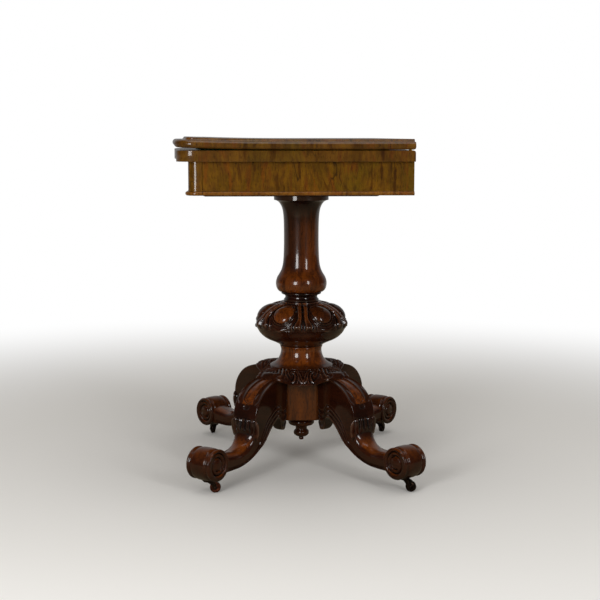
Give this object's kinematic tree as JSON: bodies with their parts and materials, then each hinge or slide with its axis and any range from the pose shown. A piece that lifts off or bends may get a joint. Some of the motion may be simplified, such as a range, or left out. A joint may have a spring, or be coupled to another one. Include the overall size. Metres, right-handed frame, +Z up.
{
  "type": "fold-over card table",
  "caption": "Fold-over card table: serpentine swivel top with link-hinged leaf and cloth-lined faces, storage well, turned and carved pedestal, scroll legs on castors.",
  "frame": {"origin": "on the floor under the middle of the table's bounding box", "axes": "+Z up, +X along the hinge edge to the sitter's right, -Y towards the serpentine front"},
  "size_m": [0.914, 0.5342, 0.737],
  "materials": {
    "walnut_top": "polished golden-brown walnut",
    "walnut_pedestal": "polished dark red-brown walnut",
    "secondary_pine": "unpolished, aged",
    "green_baize": "napped wool cloth",
    "hinge_brass": "worn satin",
    "castor_brass": "dark patina",
    "pivot_iron": "dark, worn"
  },
  "bodies": {
    "stand": {"frieze_front_rail": "walnut_top", "frieze_back_rail": "walnut_top", "frieze_end_rail_left": "walnut_top", "frieze_end_rail_right": "walnut_top", "bead_front": "walnut_top", "bead_left": "walnut_top", "bead_right": "walnut_top", "well_floor": "secondary_pine", "well_divider": "secondary_pine", "pivot_rail": "secondary_pine", "turn_stop_shut": "secondary_pine", "turn_stop_open": "secondary_pine", "glue_block_front": "secondary_pine", "glue_block_back": "secondary_pine", "bearer": "secondary_pine", "column": "walnut_pedestal", "carved_bulb": "walnut_pedestal", "spool": "walnut_pedestal", "carved_collar": "walnut_pedestal", "hub_block": "walnut_pedestal", "finial": "walnut_pedestal", "leg_front_right": "walnut_pedestal", "leg_back_right": "walnut_pedestal", "leg_back_left": "walnut_pedestal", "leg_front_left": "walnut_pedestal", "castor_plate_front_right": "castor_brass", "castor_plate_back_right": "castor_brass", "castor_plate_back_left": "castor_brass", "castor_plate_front_left": "castor_brass"},
    "top": {"lower_leaf": "walnut_top", "lower_baize": "green_baize", "pivot_plate": "pivot_iron", "pivot_pin": "pivot_iron", "pivot_washer": "pivot_iron", "pivot_nut": "pivot_iron", "turn_stop_peg": "pivot_iron", "hinge_plate_lower_left": "hinge_brass", "hinge_plate_lower_right": "hinge_brass"},
    "hinge_links": {"hinge_link_left": "hinge_brass", "hinge_link_right": "hinge_brass"},
    "flap": {"upper_leaf": "walnut_top", "upper_baize": "green_baize", "hinge_plate_upper_left": "hinge_brass", "hinge_plate_upper_right": "hinge_brass"},
    "castor_front_right": {"castor_horn_front_right": "castor_brass", "castor_axle_front_right": "castor_brass"},
    "castor_back_right": {"castor_horn_back_right": "castor_brass", "castor_axle_back_right": "castor_brass"},
    "castor_back_left": {"castor_horn_back_left": "castor_brass", "castor_axle_back_left": "castor_brass"},
    "castor_front_left": {"castor_horn_front_left": "castor_brass", "castor_axle_front_left": "castor_brass"},
    "wheel_front_right": {"castor_wheel_front_right": "castor_brass"},
    "wheel_back_right": {"castor_wheel_back_right": "castor_brass"},
    "wheel_back_left": {"castor_wheel_back_left": "castor_brass"},
    "wheel_front_left": {"castor_wheel_front_left": "castor_brass"}
  },
  "joints": [
    {"name": "top_swivel", "type": "hinge", "parent": "stand", "child": "top", "pos_m": [0.099, 0.11591, 0.69], "axis": [0, 0, 1], "range_deg": [0, 90]},
    {"name": "link_fold", "type": "hinge", "parent": "top", "child": "hinge_links", "pos_m": [0, 0.21041, 0.7065], "axis": [-1, 0, 0], "range_deg": [0, 89.75]},
    {"name": "leaf_fold", "type": "hinge", "parent": "hinge_links", "child": "flap", "pos_m": [0, 0.21041, 0.717], "axis": [-1, 0, 0], "range_deg": [0, 89.75]},
    {"name": "castor_swivel_front_right", "type": "hinge", "parent": "stand", "child": "castor_front_right", "pos_m": [0.26398, -0.18933, 0], "axis": [0, 0, 1], "continuous": true},
    {"name": "castor_swivel_back_right", "type": "hinge", "parent": "stand", "child": "castor_back_right", "pos_m": [0.26398, 0.22316, 0], "axis": [0, 0, 1], "continuous": true},
    {"name": "castor_swivel_back_left", "type": "hinge", "parent": "stand", "child": "castor_back_left", "pos_m": [-0.26398, 0.22316, 0], "axis": [0, 0, 1], "continuous": true},
    {"name": "castor_swivel_front_left", "type": "hinge", "parent": "stand", "child": "castor_front_left", "pos_m": [-0.26398, -0.18933, 0], "axis": [0, 0, 1], "continuous": true},
    {"name": "castor_roll_front_right", "type": "hinge", "parent": "castor_front_right", "child": "wheel_front_right", "pos_m": [0.26398, -0.17333, 0.0115], "axis": [-1, 0, 0], "continuous": true},
    {"name": "castor_roll_back_right", "type": "hinge", "parent": "castor_back_right", "child": "wheel_back_right", "pos_m": [0.27469, 0.23505, 0.0115], "axis": [-0.7431, 0.6691, 0], "continuous": true},
    {"name": "castor_roll_back_left", "type": "hinge", "parent": "castor_back_left", "child": "wheel_back_left", "pos_m": [-0.27784, 0.23116, 0.0115], "axis": [-0.5, -0.866, 0], "continuous": true},
    {"name": "castor_roll_front_left", "type": "hinge", "parent": "castor_front_left", "child": "wheel_front_left", "pos_m": [-0.27944, -0.19347, 0.0115], "axis": [0.2588, -0.9659, 0], "continuous": true}
  ],
  "couplings": [
    {"joint": "leaf_fold", "follows": "link_fold", "ratio": 1}
  ]
}
